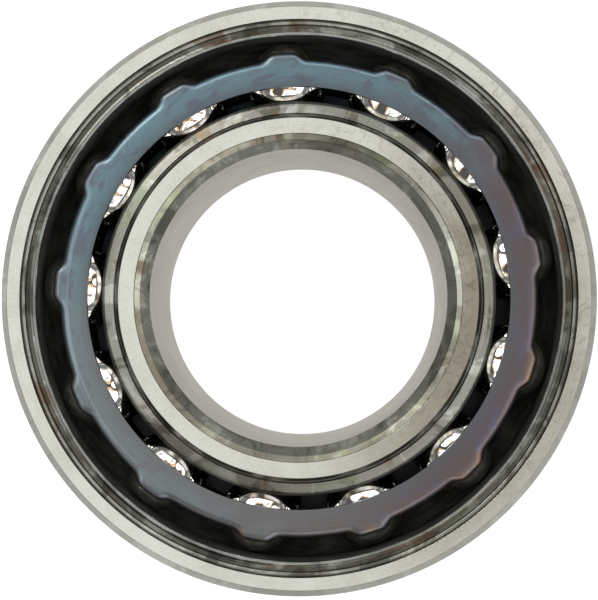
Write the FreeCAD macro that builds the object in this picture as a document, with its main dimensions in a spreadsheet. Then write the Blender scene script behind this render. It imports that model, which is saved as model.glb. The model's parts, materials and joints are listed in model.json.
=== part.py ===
"""Double-row angular contact ball bearing, open type, 40 mm bore.

Frame: the bearing's axis is +Z and the origin is on it, midway between the side faces.
The front row is on the +Z side. Millimetres throughout.
"""
import FreeCAD
import Part
import Sketcher
import os

doc = FreeCAD.newDocument("angular_contact_bearing")

# ---------------------------------------------------------------- driving dimensions
SIZES = {
    # boundary dimensions
    "bore_diameter": 40.0,
    "outside_diameter": 80.0,
    "width": 30.2,
    # balls and their two rows
    "ball_diameter": 10.716,
    "pitch_diameter": 60.2,
    "row_offset": 7.3,  # from the middle plane to the centre of a row
    "contact_angle": 30.0,
    "balls_per_row": 13,
    "front_row_angle": 10.6,  # where the first ball of the row stands
    "rear_row_angle": 10.6,
    "contact_clearance": 0.04,
    # outer ring
    "outer_groove_radius": 5.68,
    "outer_centre_rib_diameter": 66.2,
    "outer_land_diameter": 70.88,
    "outer_corner_radial": 0.98,
    "outer_corner_axial": 1.1,
    "rim_diameter": 74.34,
    "rim_depth": 0.28,
    "undercut_diameter": 75.1,
    "undercut_start": 0.56,
    "undercut_end": 0.82,
    "ledge_diameter": 73.1,
    "ledge_depth": 0.98,
    "step_diameter": 72.3,
    "step_depth": 1.42,
    "land_break_diameter": 71.4,
    "land_break_depth": 1.62,
    "land_depth": 1.86,
    # inner ring
    "inner_groove_radius": 5.57,
    "inner_centre_land_diameter": 51.4,
    "inner_shoulder_diameter": 53.5,
    "bore_corner_axial": 1.1,
    "bore_corner_diameter": 42.12,
    "bore_corner_depth": 0.28,
    "inner_face_inner_diameter": 43.9,
    "inner_face_outer_diameter": 48.0,
    "recess_diameter": 49.2,
    "recess_depth": 2.5,
    "shoulder_break_diameter": 52.7,
    "shoulder_break_depth": 3.1,
    "shoulder_depth": 3.4,
    # cages
    "sheet_thickness": 0.85,
    "flange_height": 13.7,  # from the middle plane to the flange's outward face
    "flange_inner_diameter": 57.0,
    "flange_edge_radius": 0.3,
    "wall_diameter": 64.7,
    "bend_radius": 1.15,
    "prong_tip_height": 4.8,
    "pocket_clearance": 0.16,
    "lobe_diameter": 66.4,
    "lobe_angle": 10.8,
    "lobe_start_diameter": 62.0,
    "lobe_start_drop": 0.03,
    "lobe_end_drop": 0.72,
    "lobe_foot_height": 11.2,
    "lobe_corner_radius": 0.42,
    "relief_width": 2.0,
    "relief_height": 8.6,
    # edge breaks
    "edge_radius": 0.22,
    "rim_edge_radius": 0.08,
}

sheet = doc.addObject("Spreadsheet::Sheet", "Sizes")
for row, (alias, size) in enumerate(SIZES.items(), start=1):
    sheet.set(f"A{row}", alias.replace("_", " "))
    sheet.set(f"B{row}", str(size))
    sheet.setAlias(f"B{row}", alias)
doc.recompute()


def cell(alias):
    """The expression that reads one cell of the sheet."""
    return f"Sizes.{alias}"


def half(alias):
    return f"(Sizes.{alias} / 2)"


def below_face(alias):
    """A height above the middle plane, for a depth measured from the side face."""
    return f"(Sizes.width / 2 - Sizes.{alias})"


def value(expression):
    return float(sheet.evalExpression(expression.replace("Sizes.", "")))


# ---------------------------------------------------------------- derived places, as expressions
BALL_RADIUS = half("ball_diameter")
PITCH_RADIUS = half("pitch_diameter")
FACE = half("width")
BALL_CENTRE_HEIGHT = cell("row_offset")


def groove_centre(groove, side):
    """Centre of a raceway's arc: it lies on the contact line, past the ball's centre.

    side is +1 for the outer ring's raceway and -1 for the inner ring's.
    """
    past = f"({cell(groove)} - {BALL_RADIUS} - {cell('contact_clearance')})"
    sign, back = ("-", "+") if side > 0 else ("+", "-")
    radius = f"({PITCH_RADIUS} {sign} {past} * cos({cell('contact_angle')}))"
    height = f"({BALL_CENTRE_HEIGHT} {back} {past} * sin({cell('contact_angle')}))"
    return radius, height


def height_on_groove(groove, side, diameter, towards_face):
    """Where a raceway's arc meets the cylinder of the given diameter."""
    radius, height = groove_centre(groove, side)
    reach = f"sqrt({cell(groove)} ^ 2 - ({half(diameter)} - {radius}) ^ 2)"
    return f"({height} {'+' if towards_face else '-'} {reach})"


# ---------------------------------------------------------------- sketch and body helpers
def origin_plane(body, role):
    return next(f for f in body.Origin.OriginFeatures if f.Role == role)


def new_body(label):
    body = doc.addObject("PartDesign::Body", label)
    body.Label = label
    return body


def closed_profile(body, name, corners):
    """A sketch on the body's XZ plane: straight runs and arcs through fully dimensioned corners.

    Each corner is (radius, height) or (radius, height, arc radius, bulge), where the last two
    describe an arc from this corner to the next one. bulge is +1 if the arc's centre is to the
    left of that run and -1 if it is to the right.
    """
    sketch = body.newObject("Sketcher::SketchObject", name)
    sketch.AttachmentSupport = (origin_plane(body, "XZ_Plane"), [""])
    sketch.MapMode = "FlatFace"
    places = [FreeCAD.Vector(value(c[0]), value(c[1]), 0) for c in corners]
    for i, corner in enumerate(corners):
        start, end = places[i], places[(i + 1) % len(places)]
        if len(corner) == 2:
            sketch.addGeometry(Part.LineSegment(start, end), False)
            continue
        arc_radius = value(corner[2])
        run = end - start
        left = FreeCAD.Vector(-run.y, run.x, 0).normalize()
        rise = (arc_radius**2 - (run.Length / 2) ** 2) ** 0.5
        centre = (start + end) * 0.5 + left * rise * corner[3]
        towards_middle = ((start + end) * 0.5 - centre).normalize()
        middle = centre + towards_middle * arc_radius
        arc = Part.Arc(start, middle, end)
        sketch.addGeometry(arc, False)
    for i in range(len(corners)):
        join_ends(sketch, i, (i + 1) % len(corners), places[(i + 1) % len(corners)])
    for i, corner in enumerate(corners):
        end_number = near_end(sketch, i, places[i])
        for kind, expression in (("DistanceX", corner[0]), ("DistanceY", corner[1])):
            added = sketch.addConstraint(
                Sketcher.Constraint(kind, -1, 1, i, end_number, value(expression))
            )
            sketch.setExpression(f"Constraints[{added}]", expression)
        if len(corner) == 4:
            added = sketch.addConstraint(Sketcher.Constraint("Radius", i, value(corner[2])))
            sketch.setExpression(f"Constraints[{added}]", corner[2])
    return sketch


def near_end(sketch, geometry, place):
    """1 or 2: the end of a line or arc that lies at the place."""
    ends = {n: sketch.getPoint(geometry, n) for n in (1, 2)}
    return min(ends, key=lambda n: (ends[n] - place).Length)


def join_ends(sketch, first, second, place):
    sketch.addConstraint(
        Sketcher.Constraint(
            "Coincident",
            first,
            near_end(sketch, first, place),
            second,
            near_end(sketch, second, place),
        )
    )


def revolve(body, name, sketch, angle=360.0):
    feature = body.newObject("PartDesign::Revolution", name)
    feature.Profile = sketch
    feature.ReferenceAxis = (sketch, ["V_Axis"])
    feature.Angle = angle
    feature.Midplane = angle < 360.0
    sketch.Visibility = False
    return feature


def repeat_round(body, name, originals):
    """Repeats features once for each ball of the row."""
    pattern = body.newObject("PartDesign::PolarPattern", name)
    pattern.Originals = originals
    pattern.Axis = (origin_plane(body, "Z_Axis"), [""])
    pattern.Angle = 360.0
    pattern.setExpression("Occurrences", cell("balls_per_row"))
    body.Tip = pattern
    doc.recompute()
    return pattern


def round_edges(body, name, radius_alias, chosen):
    """Rounds the edges of the body's last feature that the test picks."""
    base = body.Tip
    names = [f"Edge{i}" for i, edge in enumerate(base.Shape.Edges, start=1) if chosen(edge)]
    if not names:
        raise RuntimeError(f"{body.Label}: no edge found for {name}")
    feature = body.newObject("PartDesign::Fillet", name)
    feature.Base = (base, names)
    feature.setExpression("Radius", cell(radius_alias))
    body.Tip = feature
    doc.recompute()
    return feature


def circle_at(radius, height):
    """A test for a full circular edge about the axis, at this radius and either side of the middle."""

    def chosen(edge):
        curve = edge.Curve
        return (
            isinstance(curve, Part.Circle)
            and abs(curve.Radius - radius) < 0.005
            and abs(abs(curve.Center.z) - height) < 0.005
            and abs(curve.Axis.z) > 0.999
        )

    return chosen


def both_sides(front_half):
    """Closes a section that is the same on both sides of the middle plane.

    front_half runs from the inside of the ring over the front face to the outside, and each
    arc in it is mirrored too.
    """
    mirrored = []
    for i in range(len(front_half) - 1, -1, -1):
        radius, height = front_half[i][:2]
        before = front_half[i - 1] if i > 0 else None
        arc = before[2:] if before and len(before) == 4 else ()
        mirrored.append((radius, f"-{height}", *arc))
    return front_half + mirrored


# ---------------------------------------------------------------- rings
def make_outer_ring():
    body = new_body("outer_ring")
    groove = "outer_groove_radius"
    section = both_sides(
        [
            (
                half("outer_centre_rib_diameter"),
                height_on_groove(groove, 1, "outer_centre_rib_diameter", False),
                cell(groove),
                1,
            ),
            (
                half("outer_land_diameter"),
                height_on_groove(groove, 1, "outer_land_diameter", True),
            ),
            (half("outer_land_diameter"), below_face("land_depth")),
            (half("land_break_diameter"), below_face("land_break_depth")),
            (half("step_diameter"), below_face("step_depth")),
            (half("ledge_diameter"), below_face("ledge_depth")),
            (half("undercut_diameter"), below_face("undercut_end")),
            (half("undercut_diameter"), below_face("undercut_start")),
            (half("rim_diameter"), below_face("rim_depth")),
            (half("rim_diameter"), FACE),
            (f"({half('outside_diameter')} - {cell('outer_corner_radial')})", FACE),
            (half("outside_diameter"), below_face("outer_corner_axial")),
        ]
    )
    revolve(body, "outer_ring_turned", closed_profile(body, "outer_ring_section", section))
    doc.recompute()
    outside = value(half("outside_diameter"))
    corner = value(cell("outer_corner_radial"))
    face = value(FACE)
    tests = [
        circle_at(outside, face - value(cell("outer_corner_axial"))),
        circle_at(outside - corner, face),
    ]
    round_edges(body, "outside_edges", "edge_radius", lambda e: any(t(e) for t in tests))
    round_edges(
        body,
        "rim_edges",
        "rim_edge_radius",
        circle_at(value(half("rim_diameter")), face),
    )
    return body


def make_inner_ring():
    body = new_body("inner_ring")
    groove = "inner_groove_radius"
    section = both_sides(
        [
            (half("bore_diameter"), below_face("bore_corner_axial")),
            (half("bore_corner_diameter"), below_face("bore_corner_depth")),
            (half("inner_face_inner_diameter"), FACE),
            (half("inner_face_outer_diameter"), FACE),
            (half("recess_diameter"), below_face("recess_depth")),
            (half("shoulder_break_diameter"), below_face("shoulder_break_depth")),
            (half("inner_shoulder_diameter"), below_face("shoulder_depth")),
            (
                half("inner_shoulder_diameter"),
                height_on_groove(groove, -1, "inner_shoulder_diameter", True),
                cell(groove),
                1,
            ),
            (
                half("inner_centre_land_diameter"),
                height_on_groove(groove, -1, "inner_centre_land_diameter", False),
            ),
        ]
    )
    revolve(body, "inner_ring_turned", closed_profile(body, "inner_ring_section", section))
    doc.recompute()
    face = value(FACE)
    round_edges(
        body,
        "face_edges",
        "rim_edge_radius",
        circle_at(value(half("inner_face_outer_diameter")), face),
    )
    round_edges(
        body,
        "recess_fillets",
        "edge_radius",
        circle_at(value(half("recess_diameter")), face - value(cell("recess_depth"))),
    )
    return body


# ---------------------------------------------------------------- cages
def flange_section():
    """The bent strip of a cage: a flat flange, a bend and the wall that the prongs are cut from."""
    inner = half("flange_inner_diameter")
    wall = half("wall_diameter")
    thickness = cell("sheet_thickness")
    top = cell("flange_height")
    edge = cell("flange_edge_radius")
    bend = cell("bend_radius")
    inner_bend = f"({bend} - {thickness})"
    underside = f"({top} - {thickness})"
    return [
        (inner, f"({underside} + {edge})"),
        (inner, f"({top} - {edge})", edge, -1),
        (f"({inner} + {edge})", top),
        (f"({wall} - {bend})", top, bend, -1),
        (wall, f"({top} - {bend})"),
        (wall, cell("prong_tip_height")),
        (f"({wall} - {thickness})", cell("prong_tip_height")),
        (f"({wall} - {thickness})", f"({top} - {bend})", inner_bend, 1),
        (f"({wall} - {bend})", underside),
        (f"({inner} + {edge})", underside, edge, -1),
    ]


def lobe_section():
    """A lobe over each ball: the flange goes on past the wall there and dips to follow the ball."""
    start = half("lobe_start_diameter")
    end = half("lobe_diameter")
    high = f"({cell('flange_height')} - {cell('lobe_start_drop')})"
    low = f"({cell('flange_height')} - {cell('lobe_end_drop')})"
    run = f"({end} - {start})"
    fall = f"({cell('lobe_end_drop')} - {cell('lobe_start_drop')})"
    sweep = f"(({run} ^ 2 + {fall} ^ 2) / (2 * {fall}))"
    return [
        (start, high, sweep, -1),
        (end, low),
        (end, cell("lobe_foot_height")),
        (start, cell("lobe_foot_height")),
    ]


def place_on_axis_plane(feature, body, turn, radius, height):
    """Attaches a primitive to the body's XY plane at a radius and height, turned about the axis."""
    feature.AttachmentSupport = (origin_plane(body, "XY_Plane"), [""])
    feature.MapMode = "FlatFace"
    feature.AttachmentOffset.Rotation = FreeCAD.Rotation(FreeCAD.Vector(0, 0, 1), turn)
    feature.setExpression(".AttachmentOffset.Base.x", f"{radius} * cos({turn})")
    feature.setExpression(".AttachmentOffset.Base.y", f"{radius} * sin({turn})")
    feature.setExpression(".AttachmentOffset.Base.z", height)


def make_cage(label, placement):
    """One pressed crown cage, made with its first pocket on the body's own +X axis."""
    body = new_body(label)
    revolve(body, f"{label}_bent_strip", closed_profile(body, f"{label}_strip", flange_section()))
    doc.recompute()
    lobe = revolve(
        body,
        f"{label}_lobe",
        closed_profile(body, f"{label}_lobe_section", lobe_section()),
        SIZES["lobe_angle"],
    )
    lobe.setExpression("Angle", cell("lobe_angle"))
    doc.recompute()
    repeat_round(body, f"{label}_lobes", [lobe])
    lobe_radius = value(half("lobe_diameter"))

    def lobe_corner(edge):
        if not isinstance(edge.Curve, Part.Line):
            return False
        ends = [v.Point for v in edge.Vertexes]
        upright = abs(ends[0].x - ends[1].x) + abs(ends[0].y - ends[1].y) < 0.001
        return upright and all(abs((p.x**2 + p.y**2) ** 0.5 - lobe_radius) < 0.01 for p in ends)

    round_edges(body, f"{label}_lobe_corners", "lobe_corner_radius", lobe_corner)

    pocket = body.newObject("PartDesign::SubtractiveSphere", f"{label}_pocket")
    place_on_axis_plane(pocket, body, 0, PITCH_RADIUS, BALL_CENTRE_HEIGHT)
    pocket.setExpression("Radius", f"{BALL_RADIUS} + {cell('pocket_clearance')}")
    doc.recompute()
    repeat_round(body, f"{label}_pockets", [pocket])

    # a notch with a round end splits each prong into two claws
    between = 180.0 / SIZES["balls_per_row"]
    notch_height = f"({cell('relief_height')} - {cell('prong_tip_height')})"
    notch = body.newObject("PartDesign::SubtractiveBox", f"{label}_notch")
    across = f"({half('wall_diameter')} - {cell('bend_radius')})"
    notch.AttachmentSupport = (origin_plane(body, "XY_Plane"), [""])
    notch.MapMode = "FlatFace"
    notch.AttachmentOffset.Rotation = FreeCAD.Rotation(FreeCAD.Vector(0, 0, 1), between)
    turn = f"(180 / {cell('balls_per_row')})"
    side = half("relief_width")
    notch.setExpression(".AttachmentOffset.Base.x", f"{across} * cos{turn} + {side} * sin{turn}")
    notch.setExpression(".AttachmentOffset.Base.y", f"{across} * sin{turn} - {side} * cos{turn}")
    notch.setExpression(".AttachmentOffset.Base.z", cell("prong_tip_height"))
    notch.setExpression("Length", f"2 * {cell('bend_radius')}")
    notch.setExpression("Width", cell("relief_width"))
    notch.setExpression("Height", notch_height)
    doc.recompute()
    round_end = body.newObject("PartDesign::SubtractiveCylinder", f"{label}_notch_end")
    round_end.AttachmentSupport = (origin_plane(body, "XY_Plane"), [""])
    round_end.MapMode = "FlatFace"
    lie_down = FreeCAD.Rotation(FreeCAD.Vector(0, 1, 0), 90)
    round_end.AttachmentOffset.Rotation = (
        FreeCAD.Rotation(FreeCAD.Vector(0, 0, 1), between) * lie_down
    )
    round_end.setExpression(".AttachmentOffset.Base.x", f"{across} * cos{turn}")
    round_end.setExpression(".AttachmentOffset.Base.y", f"{across} * sin{turn}")
    round_end.setExpression(".AttachmentOffset.Base.z", cell("relief_height"))
    round_end.setExpression("Radius", half("relief_width"))
    round_end.setExpression("Height", f"2 * {cell('bend_radius')}")
    doc.recompute()
    repeat_round(body, f"{label}_notches", [notch, round_end])
    body.Placement = placement
    return body


# ---------------------------------------------------------------- balls
def make_ball(label, row_angle, number, side):
    """One ball of a row. side is +1 for the front row and -1 for the rear row."""
    ball = doc.addObject("Part::Sphere", label)
    ball.Label = label
    turn = f"({cell(row_angle)} + 360 * {number} / {cell('balls_per_row')})"
    ball.setExpression("Radius", BALL_RADIUS)
    ball.setExpression(".Placement.Base.x", f"{PITCH_RADIUS} * cos{turn}")
    ball.setExpression(".Placement.Base.y", f"{PITCH_RADIUS} * sin{turn}")
    ball.setExpression(".Placement.Base.z", f"{side} * {BALL_CENTRE_HEIGHT}")
    return ball


UP = FreeCAD.Vector(0, 0, 1)
turn_over = FreeCAD.Rotation(FreeCAD.Vector(1, 0, 0), 180)
parts = [make_outer_ring(), make_inner_ring()]
parts.append(
    make_cage(
        "front_cage",
        FreeCAD.Placement(FreeCAD.Vector(), FreeCAD.Rotation(UP, SIZES["front_row_angle"])),
    )
)
parts.append(
    make_cage(
        "rear_cage",
        FreeCAD.Placement(
            FreeCAD.Vector(), FreeCAD.Rotation(UP, SIZES["rear_row_angle"]) * turn_over
        ),
    )
)
for row, side in (("front", 1), ("rear", -1)):
    for number in range(SIZES["balls_per_row"]):
        parts.append(make_ball(f"{row}_ball_{number + 1:02d}", f"{row}_row_angle", number, side))
doc.recompute()

# ---------------------------------------------------------------- check and write
for item in doc.Objects:
    if {"Invalid", "Error"} & set(item.State):
        raise RuntimeError(f"{item.Label} did not build: {item.State}")
os.makedirs("parts", exist_ok=True)
for part in parts:
    shape = part.Shape
    if shape.isNull() or not shape.isValid() or len(shape.Solids) != 1:
        raise RuntimeError(f"{part.Label} is not one valid solid")
    shape.exportStep(f"parts/{part.Label}.step")
    low, high = shape.BoundBox.ZMin, shape.BoundBox.ZMax
    print(f"{part.Label}: {shape.Volume:.1f} mm3, z {low:.2f} to {high:.2f}")
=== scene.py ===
import bpy
import bmesh
import json
import math
from mathutils import Matrix, Vector


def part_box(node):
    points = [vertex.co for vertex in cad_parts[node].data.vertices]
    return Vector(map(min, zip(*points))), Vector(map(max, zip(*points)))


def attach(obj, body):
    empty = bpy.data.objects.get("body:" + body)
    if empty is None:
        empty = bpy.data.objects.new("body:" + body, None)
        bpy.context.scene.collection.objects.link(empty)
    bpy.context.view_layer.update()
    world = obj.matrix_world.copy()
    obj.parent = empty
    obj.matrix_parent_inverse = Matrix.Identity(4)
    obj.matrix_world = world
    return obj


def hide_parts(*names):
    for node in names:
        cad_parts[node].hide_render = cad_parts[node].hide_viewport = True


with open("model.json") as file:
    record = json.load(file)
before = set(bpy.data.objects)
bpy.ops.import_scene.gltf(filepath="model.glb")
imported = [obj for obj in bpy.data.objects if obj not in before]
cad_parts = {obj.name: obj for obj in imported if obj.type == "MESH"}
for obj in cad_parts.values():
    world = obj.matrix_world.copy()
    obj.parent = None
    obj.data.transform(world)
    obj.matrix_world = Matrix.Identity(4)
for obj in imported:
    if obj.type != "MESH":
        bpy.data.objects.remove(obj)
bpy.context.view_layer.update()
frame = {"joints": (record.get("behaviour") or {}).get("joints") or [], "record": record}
mm = 0.001


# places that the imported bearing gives, in millimetres
def nodeBox(node):
    low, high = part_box(node)
    return low / mm, high / mm


def mount(name):
    return next(m for m in frame["record"]["mounts"] if m["name"] == name)


def ballPlaces(row):
    joints = [j for j in frame["joints"] if j["child"].startswith(row + "_ball_")]
    return {j["child"]: Vector(j["pos_m"]) / mm for j in joints}


outerHigh = nodeBox("outer_ring")[1]
shoulderHigh = nodeBox("inner_ring")[1]
ballLow, ballHigh = nodeBox("front_ball_01")
frontBalls = ballPlaces("front")
rearBalls = ballPlaces("rear")
firstBall = frontBalls["front_ball_01"]

bearing = {
    "outside": mount("outside_diameter")["dims"]["r_mm"],
    "bore": mount("bore")["dims"]["r_mm"],
    "face": outerHigh.z,
    "shoulder": round(shoulderHigh.x, 2),
    "ball": (ballHigh.z - ballLow.z) / 2,
    "rowRadius": math.hypot(firstBall.x, firstBall.y),
    "rowHeight": firstBall.z,
    "pockets": len(frontBalls),
    "contactAngle": math.radians(30),
    "contactGap": 0.04,
}
around = 24 * bearing["pockets"]  # segments of every turned surface


# shader maths: one socket, with the sums that the finishes use
class Wire:
    def __init__(self, tree, socket=None):
        self.tree = tree
        self.socket = socket

    def add(self, kind, settings=None, links=None, out=0):
        node = self.tree.nodes.new(kind)
        for name, value in (settings or {}).items():
            setattr(node, name, value)
        for name, value in (links or {}).items():
            if isinstance(value, Wire):
                self.tree.links.new(value.socket, node.inputs[name])
            else:
                node.inputs[name].default_value = value
        return Wire(self.tree, node.outputs[out])

    def maths(self, operation, *values):
        return self.add("ShaderNodeMath", {"operation": operation}, dict(enumerate(values)))

    def __add__(self, other):
        return self.maths("ADD", self, other)

    def __radd__(self, other):
        return self.maths("ADD", other, self)

    def __sub__(self, other):
        return self.maths("SUBTRACT", self, other)

    def __rsub__(self, other):
        return self.maths("SUBTRACT", other, self)

    def __mul__(self, other):
        return self.maths("MULTIPLY", self, other)

    def __rmul__(self, other):
        return self.maths("MULTIPLY", other, self)

    def __truediv__(self, other):
        return self.maths("DIVIDE", self, other)

    def __rtruediv__(self, other):
        return self.maths("DIVIDE", other, self)

    def __pow__(self, other):
        return self.maths("POWER", self, other)

    def smooth(self, low, high):
        # 0 below low, 1 above high, eased between; low may be the larger
        ends = {"Value": self, "From Min": low, "From Max": high}
        return self.add("ShaderNodeMapRange", {"interpolation_type": "SMOOTHSTEP"}, ends)

    def vector(self, x, y, z):
        # one place out of three numbers
        return self.add("ShaderNodeCombineXYZ", None, {"X": x, "Y": y, "Z": z})

    def noise(self, place, scale, detail=4, roughness=0.55, distortion=0):
        links = {"Vector": place, "Scale": scale, "Detail": detail}
        links |= {"Roughness": roughness, "Distortion": distortion}
        return self.add("ShaderNodeTexNoise", None, links)

    def mix(self, first, second, mask):
        settings = {"data_type": "RGBA"}
        return self.add("ShaderNodeMix", settings, {0: mask, 6: first, 7: second}, out=2)


def rgb(red, green, blue):
    return (red, green, blue, 1)


def newFinish(name):
    material = bpy.data.materials.new(name)
    material.use_nodes = True
    tree = material.node_tree
    shader = tree.nodes["Principled BSDF"]
    return material, Wire(tree), shader


def feed(shader, **sockets):
    for name, value in sockets.items():
        socket = shader.inputs[name.replace("_", " ")]
        if isinstance(value, Wire):
            value.tree.links.new(value.socket, socket)
        else:
            socket.default_value = value


def turnedPlace(wire):
    # place on the piece in millimetres, and its distance from the axis
    place = wire.add("ShaderNodeTexCoord", out="Object")
    parts = wire.add("ShaderNodeSeparateXYZ", None, {0: place}).socket.node
    x, y, z = (Wire(wire.tree, socket) / mm for socket in parts.outputs)
    radius = (x * x + y * y) ** 0.5
    return x, y, z, radius


def near(wire, x, y, radius, degrees, spread):
    # 1 towards one direction from the axis, and 0 where it is spread degrees or more away
    angle = math.radians(degrees)
    along = (x * math.cos(angle) + y * math.sin(angle)) / radius
    return along.smooth(math.cos(math.radians(spread)), 1)


groundLook = {
    "steel": rgb(0.80, 0.80, 0.74),
    "shade": rgb(0.68, 0.67, 0.61),
    "scuff": rgb(0.46, 0.45, 0.38),
    "scratch": rgb(0.93, 0.93, 0.88),
    "edgeTint": rgb(1, 1, 1),
    "roughness": 0.13,
    # direction round the axis in degrees, with its spread, towards which scuffs and light
    # scratches are painted stronger: partly wear, partly a painted reflection of the room's darker
    # side
    "wornTowards": (25, 95),
}
# painted shade: a darker copy of the ground finish for the outside diameter, so that its
# reflection of the bright floor is not blown out
shadedOutsideLook = groundLook | {
    "steel": rgb(0.56, 0.56, 0.53),
    "shade": rgb(0.46, 0.46, 0.43),
    "scuff": rgb(0.38, 0.37, 0.33),
    "scratch": rgb(0.66, 0.66, 0.62),
    "roughness": 0.24,
}
boreLook = groundLook | {
    "steel": rgb(0.63, 0.62, 0.58),
    "shade": rgb(0.54, 0.525, 0.48),
    "scuff": rgb(0.45, 0.44, 0.40),
    "scratch": rgb(0.64, 0.63, 0.60),
    "edgeTint": rgb(0.45, 0.44, 0.42),
    "roughness": 0.42,
}


def groundSteel(name, look, lay):
    material, wire, shader = newFinish(name)
    shader.inputs["Specular Tint"].default_value = look["edgeTint"]
    x, y, z, radius = turnedPlace(wire)
    level = radius if lay == "radius" else z
    ringPlace = wire.vector(x / radius * 0.7, y / radius * 0.7, level * 9)
    lines = wire.noise(ringPlace, 2.2, detail=6, roughness=0.7)
    clouds = wire.noise(wire.vector(x, y, z), 0.16, detail=5, roughness=0.6)
    grain = wire.noise(wire.vector(x, y, z), 2.6, detail=3)
    tone = clouds * 0.5 + lines * 0.3 + grain * 0.2
    colour = wire.mix(look["shade"], look["steel"], tone.smooth(0.36, 0.60))
    scuffs = wire.noise(wire.vector(x, y, z), 0.55, detail=8, roughness=0.72, distortion=1.2)
    # painted reflection: scuffs and light scratches gather on one side; a weak share of scuffs
    # everywhere is wear
    reflectedWear = near(wire, x, y, radius, *look["wornTowards"])
    colour = wire.mix(colour, look["scuff"], scuffs.smooth(0.50, 0.68) * (0.12 + reflectedWear * 0.6))
    colour = wire.mix(colour, look["scratch"], scuffs.smooth(0.36, 0.30) * reflectedWear * 0.6)
    roughness = look["roughness"] + (lines - 0.5) * 0.10 + (clouds - 0.5) * 0.08
    grind = {"Strength": 0.10, "Distance": 0.004 * mm, "Height": lines}
    bump = wire.add("ShaderNodeBump", None, grind)
    feed(shader, Base_Color=colour, Metallic=1.0, Roughness=roughness, Normal=bump)
    return material


turnedLook = {
    "steel": rgb(0.36, 0.36, 0.32),
    "bright": rgb(0.56, 0.57, 0.52),
    "dark": rgb(0.07, 0.07, 0.055),
    "rust": rgb(0.17, 0.11, 0.07),
    "green": rgb(0.22, 0.26, 0.21),
    "stain": 0.8,
    "roughness": 0.24,
}
cornerLook = turnedLook | {
    "steel": rgb(0.305, 0.305, 0.275),
    "bright": rgb(0.40, 0.40, 0.37),
    "dark": rgb(0.225, 0.225, 0.20),
    "stain": 0.1,
    "roughness": 0.34,
}
bevelLook = turnedLook | {
    "steel": rgb(0.32, 0.32, 0.275),
    "bright": rgb(0.50, 0.51, 0.43),
    "dark": rgb(0.15, 0.15, 0.12),
    "green": rgb(0.34, 0.39, 0.23),
    "rust": rgb(0.13, 0.10, 0.06),
    "roughness": 0.3,
}
# painted highlight: a near-white copy of the turned finish, for the corner of the outer ring's
# land
highlightEdgeLook = turnedLook | {
    "steel": rgb(0.84, 0.88, 0.82),
    "bright": rgb(0.96, 0.98, 0.93),
    "dark": rgb(0.50, 0.50, 0.45),
    "stain": 0.3,
    "roughness": 0.25,
}
boreCornerLook = turnedLook | {
    "steel": rgb(0.36, 0.36, 0.315),
    "bright": rgb(0.55, 0.56, 0.48),
    "dark": rgb(0.18, 0.18, 0.15),
    "green": rgb(0.34, 0.38, 0.26),
    "stain": 0.5,
}
# painted shade: a dark copy of the turned finish for the groove under the outer ring's lip, where
# shade falls
shadedLedgeLook = turnedLook | {
    "steel": rgb(0.11, 0.11, 0.095),
    "bright": rgb(0.30, 0.31, 0.29),
    "dark": rgb(0.035, 0.035, 0.03),
    "rust": rgb(0.09, 0.06, 0.04),
    "green": rgb(0.11, 0.13, 0.10),
    "roughness": 0.16,
}
shoulderLook = turnedLook | {
    "steel": rgb(0.225, 0.225, 0.20),
    "bright": rgb(0.40, 0.41, 0.37),
    "dark": rgb(0.065, 0.065, 0.05),
    "rust": rgb(0.16, 0.12, 0.07),
    "green": rgb(0.19, 0.23, 0.15),
    "roughness": 0.36,
}
recessLook = turnedLook | {
    "steel": rgb(0.50, 0.49, 0.45),
    "bright": rgb(0.66, 0.65, 0.60),
    "dark": rgb(0.16, 0.15, 0.12),
    "roughness": 0.28,
}
# painted shade: a dark copy of the turned finish for small roundings and inner corners, where
# shade falls and where a highlight would run
shadedSeamLook = turnedLook | {
    "steel": rgb(0.12, 0.12, 0.10),
    "bright": rgb(0.185, 0.185, 0.16),
    "dark": rgb(0.05, 0.05, 0.045),
    "rust": rgb(0.07, 0.05, 0.03),
    "green": rgb(0.08, 0.09, 0.07),
    "roughness": 0.4,
}


def turnedSteel(name, look):
    material, wire, shader = newFinish(name)
    x, y, z, radius = turnedPlace(wire)
    patchPlace = wire.vector(x / radius * 26, y / radius * 26, radius * 0.9 + z * 0.5)
    patches = wire.noise(patchPlace, 0.17, detail=6, roughness=0.62, distortion=0.6)
    tints = wire.noise(patchPlace, 0.11, detail=4, roughness=0.6, distortion=1.2)
    specks = wire.noise(wire.vector(x, y, z), 3.1, detail=4, roughness=0.75)
    toolPlace = wire.vector(x / radius * 1.5, y / radius * 1.5, (radius - z) * 4)
    toolLines = wire.noise(toolPlace, 1.6, detail=4, roughness=0.6)
    colour = wire.mix(look["steel"], look["bright"], patches.smooth(0.53, 0.62))
    colour = wire.mix(colour, look["bright"], toolLines.smooth(0.55, 0.75) * 0.6)
    colour = wire.mix(colour, look["dark"], toolLines.smooth(0.45, 0.28) * 0.7)
    colour = wire.mix(colour, look["dark"], patches.smooth(0.47, 0.39) * 0.75)
    colour = wire.mix(colour, look["green"], tints.smooth(0.54, 0.68) * look["stain"] * 0.8)
    colour = wire.mix(colour, look["rust"], tints.smooth(0.44, 0.32) * look["stain"])
    colour = wire.mix(colour, look["dark"], specks.smooth(0.60, 0.72) * 0.7)
    roughness = look["roughness"] + (patches - 0.5) * 0.2
    marks = {"Strength": 0.25, "Distance": 0.03 * mm, "Height": patches * 0.6 + specks * 0.4}
    bump = wire.add("ShaderNodeBump", None, marks)
    feed(shader, Base_Color=colour, Metallic=1.0, Roughness=roughness, Normal=bump)
    return material


# painted shade: the raceways and the lands inside the gap are dark steel with a dark edge tint,
# for the shade between the rings; darker patches vary it at random
shadedRacewayLook = {
    "steel": rgb(0.115, 0.115, 0.107),
    "film": rgb(0.065, 0.062, 0.055),
    "edgeTint": rgb(0.2, 0.2, 0.19),
    "roughness": 0.34,
}


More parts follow.
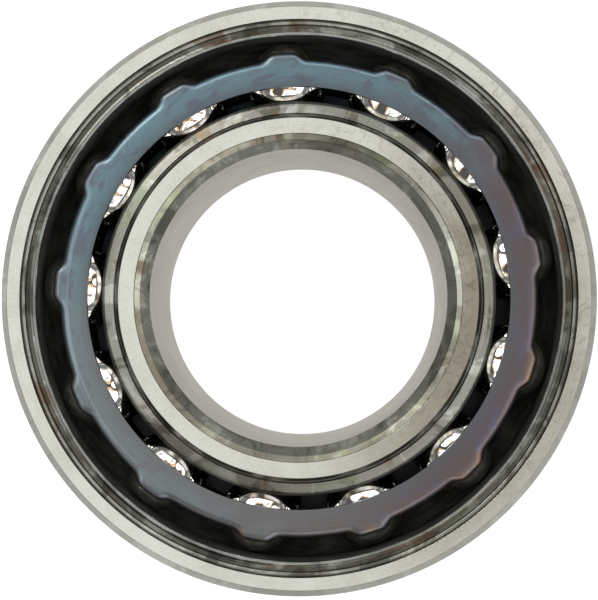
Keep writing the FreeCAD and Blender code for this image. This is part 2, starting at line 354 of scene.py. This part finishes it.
def shadedRacewaySteel(name="raceway", look=shadedRacewayLook):
    material, wire, shader = newFinish(name)
    x, y, z, _ = turnedPlace(wire)
    shader.inputs["Specular Tint"].default_value = look["edgeTint"]
    film = wire.noise(wire.vector(x, y, z * 3), 0.35, detail=5)
    colour = wire.mix(look["steel"], look["film"], film.smooth(0.4, 0.62))
    roughness = look["roughness"] + (film - 0.5) * 0.1
    feed(shader, Base_Color=colour, Metallic=0.35, Roughness=roughness)
    return material


cageLook = {
    "blue": rgb(0.155, 0.240, 0.285),
    "mauve": rgb(0.140, 0.112, 0.118),
    "violet": rgb(0.130, 0.125, 0.180),
    "brown": rgb(0.27, 0.17, 0.105),
    "inner": rgb(0.118, 0.136, 0.154),
    "edge": rgb(0.155, 0.162, 0.178),
    "haze": rgb(0.230, 0.222, 0.215),
    "oiled": rgb(0.028, 0.030, 0.034),
    "scratch": rgb(0.55, 0.60, 0.62),
    "roughness": 0.36,
    # directions round the axis in degrees, each with its spread
    "mauveTowards": (-30, 120),
    "hazeTowards": (-125, 80),
    "brownTowards": (-55, 80),
    "drawnTowards": (190, 50),
    # millimetres from the axis: the painted shade towards the inner edge, the rim and a thin
    # painted highlight line
    "innerFade": (30.6, 28.4),
    "rimFade": (31.4, 33.0),
    "drawnLine": (31.0, 31.12, 31.2, 31.32),
    # millimetres from the bearing's middle plane, below which the sheet is painted dark as the
    # shade inside the bearing
    "oilHeight": (13.25, 12.7),
}


def cageSteel(name="heat_tinted_sheet", look=cageLook):
    material, wire, shader = newFinish(name)
    x, y, z, radius = turnedPlace(wire)
    clouds = wire.noise(wire.vector(x, y, z), 0.12, detail=7, roughness=0.68, distortion=0.8)
    drawn = wire.noise(wire.vector(x / radius * 5, y / radius * 5, radius * 5), 1.3, detail=5)
    grain = wire.noise(wire.vector(x, y, z), 1.9, detail=4, roughness=0.7)
    # painted reflection: towards one side the heat tint leans to mauve, for the room's darker side
    # that the flange reflects; elsewhere it varies at random
    turn = near(wire, x, y, radius, *look["mauveTowards"])
    tint = turn * 0.9 + (clouds - 0.5) * 1.3 + (drawn - 0.5) * 0.3
    colour = wire.mix(look["blue"], look["mauve"], tint.smooth(0.15, 0.75))
    blush = wire.noise(wire.vector(x, y, radius * 2), 0.22, detail=4, roughness=0.6, distortion=1)
    colour = wire.mix(colour, look["violet"], blush.smooth(0.5, 0.64) * 0.7)
    # painted shade: the flange darkens towards its inner edge
    colour = wire.mix(colour, look["inner"], radius.smooth(*look["innerFade"]) * 0.75)
    # painted sheen: a pale tint on one side of the flange
    haze = near(wire, x, y, radius, *look["hazeTowards"])
    colour = wire.mix(colour, look["haze"], haze * 0.55)
    rim = radius.smooth(*look["rimFade"])
    # painted shade: the wall and undersides inside the bearing go nearly black
    inside = wire.maths("ABSOLUTE", z).smooth(*look["oilHeight"])
    # painted highlight: a thin pale line where the bend starts, on one side
    lineIn, lineOn, lineOff, lineOut = look["drawnLine"]
    drawnLine = radius.smooth(lineIn, lineOn) * radius.smooth(lineOut, lineOff)
    paintedHighlight = drawnLine * near(wire, x, y, radius, *look["drawnTowards"])
    # painted shade: the rim's bend is darkened and greyed, so that it catches less highlight
    colour = wire.mix(colour, look["edge"], rim * 0.85)
    # painted reflection: brown on the rim towards one side, for the room's brown patch that the
    # bend reflects
    brownReflection = rim * near(wire, x, y, radius, *look["brownTowards"]) * clouds.smooth(0.40, 0.52)
    colour = wire.mix(colour, look["brown"], brownReflection)
    dulled = drawn.smooth(0.50, 0.72) * 0.35 + grain.smooth(0.5, 0.8) * 0.4
    colour = wire.mix(colour, look["inner"], dulled)
    marks = grain.smooth(0.68, 0.74) * clouds.smooth(0.5, 0.6)
    colour = wire.mix(colour, look["scratch"], marks * 0.7)
    colour = wire.mix(colour, look["scratch"], paintedHighlight * 0.2)
    colour = wire.mix(colour, look["oiled"], inside * 0.8)
    roughness = look["roughness"] + (grain - 0.5) * 0.2 + (drawn - 0.5) * 0.1
    drawing = {"Strength": 0.22, "Distance": 0.03 * mm, "Height": drawn * 0.5 + grain * 0.5}
    bump = wire.add("ShaderNodeBump", None, drawing)
    feed(shader, Base_Color=colour, Metallic=1.0, Roughness=roughness, Normal=bump)
    return material


ballLook = {"chrome": rgb(0.90, 0.89, 0.87), "film": rgb(0.80, 0.78, 0.72), "roughness": 0.035}


def ballSteel(name="polished_ball", look=ballLook):
    material, wire, shader = newFinish(name)
    place = wire.add("ShaderNodeTexCoord", out="Object")
    film = wire.noise(place, 420, detail=3)
    colour = wire.mix(look["chrome"], look["film"], film.smooth(0.45, 0.7))
    roughness = look["roughness"] + film.smooth(0.5, 0.75) * 0.03
    feed(shader, Base_Color=colour, Metallic=1.0, Roughness=roughness)
    return material


finishes = {
    "face": groundSteel("ground_face", groundLook, "radius"),
    "outside": groundSteel("ground_outside", shadedOutsideLook, "height"),
    "bore": groundSteel("ground_bore", boreLook, "height"),
    "turned": turnedSteel("turned_ledge", turnedLook),
    "edge": turnedSteel("bright_edge", highlightEdgeLook),
    "bevel": turnedSteel("turned_bevel", bevelLook),
    "corner": turnedSteel("turned_corner", cornerLook),
    "boreCorner": turnedSteel("turned_bore_corner", boreCornerLook),
    "ledge": turnedSteel("dark_ledge", shadedLedgeLook),
    "shoulder": turnedSteel("stained_shoulder", shoulderLook),
    "recess": turnedSteel("recess_wall", recessLook),
    "seam": turnedSteel("oiled_seam", shadedSeamLook),
    "raceway": shadedRacewaySteel(),
    "cage": cageSteel(),
    "ball": ballSteel(),
}
print("finishes made:", ", ".join(finishes))


def corner(radius, height, rounding, finish):
    # the finish belongs to the stretch that runs on from this corner
    return {"at": Vector((radius, height)), "rounding": rounding, "finish": finish}


def cornerBelow(place, rounding, finish):
    radius, depth = place
    return corner(radius, bearing["face"] - depth, rounding, finish)


def grooveCorners(centre, grooveRadius, firstRadius, lastRadius, side, finish, steps=22):
    # a raceway's arc from one radius to another; side is +1 where it bows towards greater radii
    def angleAt(radius, down):
        return math.asin(down * math.sqrt(1 - ((radius - centre.x) / grooveRadius) ** 2))

    start = angleAt(firstRadius, 1)
    end = angleAt(lastRadius, -1)
    points = []
    for i in range(steps + 1):
        angle = start + (end - start) * i / steps
        reach = Vector((side * math.cos(angle), math.sin(angle))) * grooveRadius
        points.append(corner(*(centre + reach), 0.06 if i in (0, steps) else 0, finish))
    return points


def outlineOf(corners, degreesPerStep=11):
    # turns corners into points on the section, each with its true normal
    points = []
    count = len(corners)
    for i, this in enumerate(corners):
        before = (this["at"] - corners[i - 1]["at"]).normalized()
        after = (corners[(i + 1) % count]["at"] - this["at"]).normalized()
        turn = before.angle_signed(after)
        if this["rounding"] == 0:
            along = (before + after).normalized()
            points.append((this["at"], Vector((along.y, -along.x)), this["finish"]))
            continue
        cut = this["rounding"] * math.tan(abs(turn) / 2)
        steps = max(2, math.ceil(math.degrees(abs(turn)) / degreesPerStep))
        inward = 1 if turn < 0 else -1
        first = Vector((before.y, -before.x))
        last = Vector((after.y, -after.x))
        middle = this["at"] - before * cut - first * this["rounding"] * inward
        for k in range(steps + 1):
            normal = first.slerp(last, k / steps)
            place = middle + normal * this["rounding"] * inward
            arcFinish = corners[i - 1]["finish"] if k < steps else this["finish"]
            points.append((place, normal, arcFinish))
    return points


def bothSides(frontHalf, barrel):
    # the front half runs from the outside over the face to the inside
    # barrel is the finish of the stretch that closes the outline
    rearHalf = []
    for i in range(len(frontHalf) - 1, -1, -1):
        here = frontHalf[i]
        at = Vector((here["at"].x, -here["at"].y))
        finish = frontHalf[i - 1]["finish"]
        rearHalf.append({"at": at, "rounding": here["rounding"], "finish": finish})
    rearHalf[-1]["finish"] = barrel
    return frontHalf + rearHalf


def lathe(name, corners):
    points = outlineOf(corners)
    slots = sorted({finish for _, _, finish in points})
    count = len(points)
    vertices = []
    normals = []
    for step in range(around):
        angle = 2 * math.pi * step / around
        across, up = math.cos(angle), math.sin(angle)
        for place, normal, _ in points:
            vertices.append((place.x * across * mm, place.x * up * mm, place.y * mm))
            normals.append((normal.x * across, normal.x * up, normal.y))
    faces = []
    looks = []
    for step in range(around):
        here, there = step * count, (step + 1) % around * count
        for i in range(count):
            k = (i + 1) % count
            faces.append((here + i, there + i, there + k, here + k))
            looks.append(slots.index(points[i][2]))
    mesh = bpy.data.meshes.new(name)
    mesh.from_pydata(vertices, [], faces)
    for slot in slots:
        mesh.materials.append(finishes[slot])
    mesh.polygons.foreach_set("material_index", looks)
    mesh.polygons.foreach_set("use_smooth", [True] * len(faces))
    mesh.validate()
    mesh.normals_split_custom_set_from_vertices(normals)
    piece = bpy.data.objects.new(name, mesh)
    bpy.context.scene.collection.objects.link(piece)
    return piece


def contactPoint(grooveRadius, side):
    # centre of a raceway's arc in the front half; side is +1 on the outer ring
    past = grooveRadius - bearing["ball"] - bearing["contactGap"]
    angle = bearing["contactAngle"]
    row = Vector((bearing["rowRadius"], bearing["rowHeight"]))
    return row + Vector((-math.cos(angle), math.sin(angle))) * past * side


outerRing = {
    "groove": 5.68,
    "centreRib": 33.1,
    "land": 35.44,
    "rim": 37.38,
    "cornerAcross": 0.92,
    "cornerDown": 1.05,
    # radius and depth below the face, from the rim to the land
    "rimFoot": (37.32, 0.45),
    "stepOutside": (37.15, 0.62),
    "stepInside": (36.80, 0.62),
    "undercutOutside": (36.58, 0.92),
    "undercutInside": (36.15, 1.02),
    "landCorner": (35.80, 0.94),
    "landDepth": 1.3,
}


def makeOuterRing():
    face, outside, o = bearing["face"], bearing["outside"], outerRing
    centre = contactPoint(o["groove"], 1)
    front = [
        corner(outside, face - o["cornerDown"], 0.25, "corner"),
        corner(outside - o["cornerAcross"], face, 0.12, "face"),
        corner(o["rim"], face, 0.03, "seam"),
        cornerBelow(o["rimFoot"], 0.1, "seam"),
        cornerBelow(o["stepOutside"], 0.12, "turned"),
        cornerBelow(o["stepInside"], 0.10, "seam"),
        cornerBelow(o["undercutOutside"], 0.10, "ledge"),
        cornerBelow(o["undercutInside"], 0.2, "ledge"),
        # painted highlight on the corner of the land
        cornerBelow(o["landCorner"], 0.12, "edge"),
        corner(o["land"], face - o["landDepth"], 0.22, "raceway"),
    ]
    front += grooveCorners(centre, o["groove"], o["land"], o["centreRib"], 1, "raceway")
    ring = lathe("outer_ring_turned", bothSides(front, "outside"))
    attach(ring, "outer_ring")
    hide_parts("outer_ring")


innerRing = {
    "groove": 5.57,
    "centreLand": 25.7,
    "shoulderTop": 3.4,
    "faceInside": 22.06,
    "faceOutside": 24.16,
    # how far in from the shoulder's edge, and how far up from it
    "shoulderBreak": (0.40, 0.22),
    "shoulderFoot": (0.85, 0.36),
    # radius and depth below the face, from the recess to the bore
    "recessFloor": (25.12, 2.84),
    "recessInside": (24.92, 2.62),
    "recessTop": (24.62, 1.2),
    "bevelTop": (21.94, 0.06),
    "bevelFoot": (21.24, 0.27),
    "boreCornerTop": (21.14, 0.33),
    "boreDepth": 1.25,
}


def makeInnerRing():
    face, bore, i = bearing["face"], bearing["bore"], innerRing
    shoulder = bearing["shoulder"]
    shoulderHeight = face - i["shoulderTop"]
    breakIn, breakUp = i["shoulderBreak"]
    footIn, footUp = i["shoulderFoot"]
    centre = contactPoint(i["groove"], -1)
    groove = grooveCorners(centre, i["groove"], shoulder, i["centreLand"], -1, "raceway")
    # the outline runs from the outside to the bore, so the raceway comes first, from the middle
    front = list(reversed(groove))
    front += [
        corner(shoulder, shoulderHeight, 0.16, "shoulder"),
        corner(shoulder - breakIn, shoulderHeight + breakUp, 0.1, "shoulder"),
        corner(shoulder - footIn, shoulderHeight + footUp, 0.1, "shoulder"),
        cornerBelow(i["recessFloor"], 0.1, "seam"),
        cornerBelow(i["recessInside"], 0.2, "recess"),
        cornerBelow(i["recessTop"], 0.3, "seam"),
        corner(i["faceOutside"], face, 0.09, "face"),
        corner(i["faceInside"], face, 0.02, "seam"),
        cornerBelow(i["bevelTop"], 0.05, "bevel"),
        cornerBelow(i["bevelFoot"], 0.05, "seam"),
        cornerBelow(i["boreCornerTop"], 0.05, "boreCorner"),
        corner(bore, face - i["boreDepth"], 0.12, "bore"),
    ]
    ring = lathe("inner_ring_turned", bothSides(front, "raceway"))
    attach(ring, "inner_ring")
    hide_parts("inner_ring")


makeOuterRing()
makeInnerRing()
print("rings turned")


cage = {
    "inside": 28.5,
    "top": 13.7,
    "sheet": 0.85,
    "wall": 32.34,
    "bend": 1.15,
    "lobeFlat": 32.3,
    "lobeBend": 0.9,
    "lobeTop": math.radians(2.4),
    "lobeFoot": math.radians(6.2),
    "pocketRoom": 0.22,
    "tip": 4.8,
    "notchHalf": 1.0,
    "notchHeight": 8.6,
    "edgeRounding": 0.17,
    # how finely half a pocket is divided
    "lobeSteps": 10,
    "prongSteps": 6,
    "flatSteps": 6,
    "bendSteps": 12,
}


def bentStrip(run, flatEnd, bend):
    # a place on the sheet's outer side, run millimetres out from its inner edge
    past = run - (flatEnd - cage["inside"])
    if past < 0:
        return Vector((cage["inside"] + run, cage["top"])), 0
    tilt = min(past / bend, math.pi / 2)
    drop = max(0, past - bend * math.pi / 2)
    height = cage["top"] - bend * (1 - math.cos(tilt)) - drop
    return Vector((flatEnd + bend * math.sin(tilt), height)), tilt


def sheetPoint(angle, run):
    # over a ball the sheet goes on as a lobe; towards the prongs it turns into the wall's bend
    share = (abs(angle) - cage["lobeTop"]) / (cage["lobeFoot"] - cage["lobeTop"])
    share = max(0, min(1, share))
    share = share * share * (3 - 2 * share)
    lobe, lobeTilt = bentStrip(run, cage["lobeFlat"], cage["lobeBend"])
    wall, wallTilt = bentStrip(run, cage["wall"] - cage["bend"], cage["bend"])
    return lobe.lerp(wall, share), lobeTilt + (wallTilt - lobeTilt) * share


def lobeReach(angle):
    # how far out the sheet runs before its underside comes to the ball
    limit = bearing["ball"] + cage["pocketRoom"]
    run = cage["lobeFlat"] - cage["inside"]
    while True:
        place, tilt = sheetPoint(angle, run)
        under = place - Vector((math.sin(tilt), math.cos(tilt))) * cage["sheet"]
        outward = under.x * math.cos(angle) - bearing["rowRadius"]
        sideways = under.x * math.sin(angle)
        away = Vector((outward, sideways, under.y - bearing["rowHeight"]))
        if away.length < limit:
            return run
        run += 0.005


def pocketAngle(height):
    # direction of the pocket's edge on the wall, counted from the ball's own
    inner = cage["wall"] - cage["sheet"]
    row = bearing["rowRadius"]
    free = (bearing["ball"] + cage["pocketRoom"]) ** 2 - (height - bearing["rowHeight"]) ** 2
    return math.acos((inner**2 + row**2 - free) / (2 * inner * row))


def notchAngle(height):
    above = height - cage["notchHeight"]
    half = cage["notchHalf"]
    width = half if above <= 0 else math.sqrt(max(0, half**2 - above**2))
    return width / cage["wall"]


def runAtHeight(height):
    flat = cage["wall"] - cage["bend"] - cage["inside"]
    return flat + cage["bend"] * math.pi / 2 + (cage["top"] - cage["bend"] - height)


def halfPocket():
    # a quad grid over half a pocket, as rows of (angle, run); the prong's rows follow the flange's
    halfPitch = math.pi / bearing["pockets"]
    lobeEdge = cage["lobeFoot"]
    lobeSteps, prongSteps = cage["lobeSteps"], cage["prongSteps"]
    lobeAngles = [lobeEdge * i / lobeSteps for i in range(lobeSteps)]
    prongShares = [i / prongSteps for i in range(prongSteps + 1)]
    prongAngles = [lobeEdge + (halfPitch - lobeEdge) * share for share in prongShares]
    split = lobeReach(lobeEdge)
    flat = cage["wall"] - cage["bend"] - cage["inside"]
    flatShare = flat / split
    flatSteps, bendSteps = cage["flatSteps"], cage["bendSteps"]
    shares = [flatShare * i / flatSteps for i in range(flatSteps)]
    shares += [flatShare + (1 - flatShare) * i / bendSteps for i in range(bendSteps + 1)]
    flange = []
    for share in shares:
        row = [(angle, share * lobeReach(angle)) for angle in lobeAngles]
        row += [(angle, share * split) for angle in prongAngles]
        flange.append(row)
    splitHeight = cage["top"] - cage["bend"] - (split - flat - cage["bend"] * math.pi / 2)
    notch, notchHalf, tip = cage["notchHeight"], cage["notchHalf"], cage["tip"]
    heights = [splitHeight + (notch + notchHalf - splitHeight) * i / 4 for i in range(1, 5)]
    heights += [notch + notchHalf * math.cos(math.radians(a)) for a in (35, 65, 90)]
    heights += [notch + (tip - notch) * i / 6 for i in range(1, 7)]
    prong = [flange[-1][len(lobeAngles):]]
    for height in heights:
        left, right = pocketAngle(height), halfPitch - notchAngle(height)
        run = runAtHeight(height)
        prong.append([(left + (right - left) * share, run) for share in prongShares])
    return flange, prong


def makeCage(name, node, firstAngle, side):
    flange, prong = halfPocket()
    mesh = bmesh.new()
    for pocket in range(bearing["pockets"]):
        middle = firstAngle + 2 * math.pi * pocket / bearing["pockets"]
        for hand in (1, -1):
            for grid in (flange, prong):
                rows = []
                for row in grid:
                    made = []
                    for angle, run in row:
                        place, _ = sheetPoint(angle, run)
                        turn = middle + angle * hand
                        spot = (place.x * math.cos(turn), place.x * math.sin(turn), place.y * side)
                        made.append(mesh.verts.new(Vector(spot) * mm))
                    rows.append(made)
                for low, high in zip(rows, rows[1:]):
                    for i in range(len(low) - 1):
                        quad = [low[i], high[i], high[i + 1], low[i + 1]]
                        mesh.faces.new(quad if hand * side > 0 else quad[::-1])
    bmesh.ops.remove_doubles(mesh, verts=mesh.verts, dist=0.002 * mm)
    data = bpy.data.meshes.new(name)
    mesh.to_mesh(data)
    mesh.free()
    data.polygons.foreach_set("use_smooth", [True] * len(data.polygons))
    data.materials.append(finishes["cage"])
    piece = bpy.data.objects.new(name, data)
    bpy.context.scene.collection.objects.link(piece)
    thick = piece.modifiers.new("sheet", "SOLIDIFY")
    thick.thickness = cage["sheet"] * mm
    thick.offset = -1
    thick.use_even_offset = True
    edges = piece.modifiers.new("rounded edges", "BEVEL")
    edges.width = cage["edgeRounding"] * mm
    edges.segments = 3
    edges.limit_method = "ANGLE"
    edges.angle_limit = math.radians(50)
    piece.modifiers.new("flat flange", "WEIGHTED_NORMAL").keep_sharp = True
    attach(piece, node)
    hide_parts(node)


def firstAngleOf(balls, row):
    place = balls[f"{row}_ball_01"]
    return math.atan2(place.y, place.x)


makeCage("front_cage_pressed", "front_cage", firstAngleOf(frontBalls, "front"), 1)
makeCage("rear_cage_pressed", "rear_cage", firstAngleOf(rearBalls, "rear"), -1)
print("cages pressed")


def ballMesh(cuts=21):
    mesh = bmesh.new()
    bmesh.ops.create_cube(mesh, size=2)
    bmesh.ops.subdivide_edges(mesh, edges=mesh.edges, cuts=cuts, use_grid_fill=True)
    for vertex in mesh.verts:
        # tangent spacing keeps the quads nearly even after they are blown up to a sphere
        even = Vector([math.tan(c * math.pi / 4) for c in vertex.co])
        vertex.co = even.normalized() * bearing["ball"] * mm
    data = bpy.data.meshes.new("ball")
    mesh.to_mesh(data)
    mesh.free()
    data.polygons.foreach_set("use_smooth", [True] * len(data.polygons))
    data.normals_split_custom_set_from_vertices([v.co.normalized() for v in data.vertices])
    data.materials.append(finishes["ball"])
    return data


sharedBall = ballMesh()
for places in (frontBalls, rearBalls):
    for node, place in places.items():
        ball = bpy.data.objects.new(node + "_polished", sharedBall)
        bpy.context.scene.collection.objects.link(ball)
        ball.location = place * mm
        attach(ball, node)
        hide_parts(node)
print("balls made:", len(frontBalls) + len(rearBalls))


studio = {
    "floorSize": 2.4,
    "floorTone": rgb(0.22, 0.22, 0.22),
    "floorGlow": 0.97,
    # millimetres over which the glow fades out at the bore and at the outside
    "boreFade": 0.6,
    "outsideFade": 1,
}


def makeFloor():
    foot = (0, 0, -bearing["face"] * mm)
    bpy.ops.mesh.primitive_plane_add(size=studio["floorSize"], location=foot)
    floor = bpy.context.object
    floor.name = "floor"
    material, wire, shader = newFinish("pale_floor")
    _, _, _, radius = turnedPlace(wire)
    # the rings' own footprint stays unlit, so that no light comes up between them
    bore, outside = bearing["bore"], bearing["outside"]
    inBore = radius.smooth(bore + studio["boreFade"], bore)
    lit = inBore + radius.smooth(outside, outside + studio["outsideFade"])
    glow = wire.mix(rgb(0, 0, 0), rgb(1, 1, 1), lit)
    feed(shader, Base_Color=studio["floorTone"], Roughness=0.8)
    feed(shader, Emission_Color=glow, Emission_Strength=studio["floorGlow"])
    floor.data.materials.append(material)


sky = {
    "top": rgb(0.88, 0.89, 0.86),
    "side": rgb(0.42, 0.43, 0.42),
    "panel": rgb(2.3, 2.35, 2.4),
    "crease": rgb(0.50, 0.50, 0.50),
    "gap": rgb(0.10, 0.10, 0.10),
    "warm": rgb(0.34, 0.19, 0.11),
    "gold": rgb(1.5, 1.0, 0.5),
    "dusk": rgb(0.26, 0.215, 0.165),
    # degrees from straight up, where each part of the sky begins and ends
    "sideFrom": (40, 88),
    "panelFrom": (17, 22),
    "panelTo": (66, 60),
    "gapFrom": (58, 62),
    "gapTo": (80, 74),
    "duskStart": (1, 3.5),
    "duskTo": (10.8, 6.6),
    "duskTowards": (-8, 88),
}


def makeSky():
    world = bpy.data.worlds.new("soft studio")
    world.use_nodes = True
    bpy.context.scene.world = world
    tree = world.node_tree
    wire = Wire(tree)
    toward = wire.add("ShaderNodeTexCoord", out="Generated")
    parts = wire.add("ShaderNodeSeparateXYZ", None, {0: toward}).socket.node
    x, y, z = (Wire(tree, socket) for socket in parts.outputs)
    level = (x * x + y * y) ** 0.5
    tilt = wire.maths("ARCTAN2", level, z) * (180 / math.pi)

    def facing(degrees, spread):
        angle = math.radians(degrees)
        along = (x * math.cos(angle) + y * math.sin(angle)) / (level + 0.0001)
        return along.smooth(math.cos(math.radians(spread)), math.cos(math.radians(spread * 0.5)))

    # uneven pale cloths stand in a ring, with dark and warm gaps between them
    folds = wire.noise(toward, 1.45, detail=1, roughness=0.5, distortion=0.5)
    creases = wire.noise(toward, 4.5, detail=3, roughness=0.6, distortion=0.8)
    panel = wire.mix(sky["panel"], sky["crease"], creases.smooth(0.54, 0.62))
    panel = wire.mix(panel, sky["warm"], folds.smooth(0.485, 0.455))
    panel = wire.mix(panel, sky["gold"], folds.smooth(0.452, 0.438))
    panel = wire.mix(panel, sky["gap"], folds.smooth(0.432, 0.412))
    colour = wire.mix(sky["top"], sky["side"], tilt.smooth(*sky["sideFrom"]))
    gapBand = tilt.smooth(*sky["gapFrom"]) * tilt.smooth(*sky["gapTo"])
    colour = wire.mix(colour, sky["gap"], gapBand * 0.8)
    panelBand = tilt.smooth(*sky["panelFrom"]) * tilt.smooth(*sky["panelTo"])
    colour = wire.mix(colour, panel, panelBand)
    dusk = facing(*sky["duskTowards"]) * tilt.smooth(*sky["duskStart"])
    dusk = dusk * tilt.smooth(*sky["duskTo"])
    colour = wire.mix(colour, sky["dusk"], dusk)
    back = tree.nodes["Background"]
    tree.links.new(colour.socket, back.inputs["Color"])


lamps = {
    "key": {"at": (-0.28, 0.30, 0.42), "size": 0.26, "power": 0.8, "tint": (1.0, 0.99, 0.97)},
    "fill": {"at": (0.34, 0.10, 0.34), "size": 0.18, "power": 0.15, "tint": (1.0, 0.97, 0.93)},
}


def makeLamps():
    for name, lamp in lamps.items():
        light = bpy.data.lights.new(name, "AREA")
        light.shape = "DISK"
        light.size = lamp["size"]
        light.energy = lamp["power"]
        light.color = lamp["tint"]
        holder = bpy.data.objects.new(name, light)
        bpy.context.scene.collection.objects.link(holder)
        holder.location = lamp["at"]
        holder.rotation_euler = (-Vector(lamp["at"])).to_track_quat("-Z", "Y").to_euler()


shot = {
    # millimetres from the front face and from the axis, and the point looked at
    "standOff": 217.0,
    "right": 4.55,
    "down": 4.55,
    "aim": (0.13, -0.33, 15.1),
    "lens": 97.5,
    "sensor": 36,
}


def makeCamera():
    data = bpy.data.cameras.new("camera")
    data.lens = shot["lens"]
    data.sensor_width = shot["sensor"]
    data.clip_start = 10 * mm
    camera = bpy.data.objects.new("camera", data)
    bpy.context.scene.collection.objects.link(camera)
    height = bearing["face"] + shot["standOff"]
    camera.location = Vector((shot["right"], -shot["down"], height)) * mm
    back = (camera.location - Vector(shot["aim"]) * mm).normalized()
    side = Vector((0, 1, 0)).cross(back).normalized()
    camera.rotation_euler = Matrix((side, back.cross(side), back)).transposed().to_euler()
    bpy.context.scene.camera = camera


makeFloor()
makeSky()
makeLamps()
makeCamera()
bpy.context.scene.view_settings.view_transform = "Standard"
print("studio set")
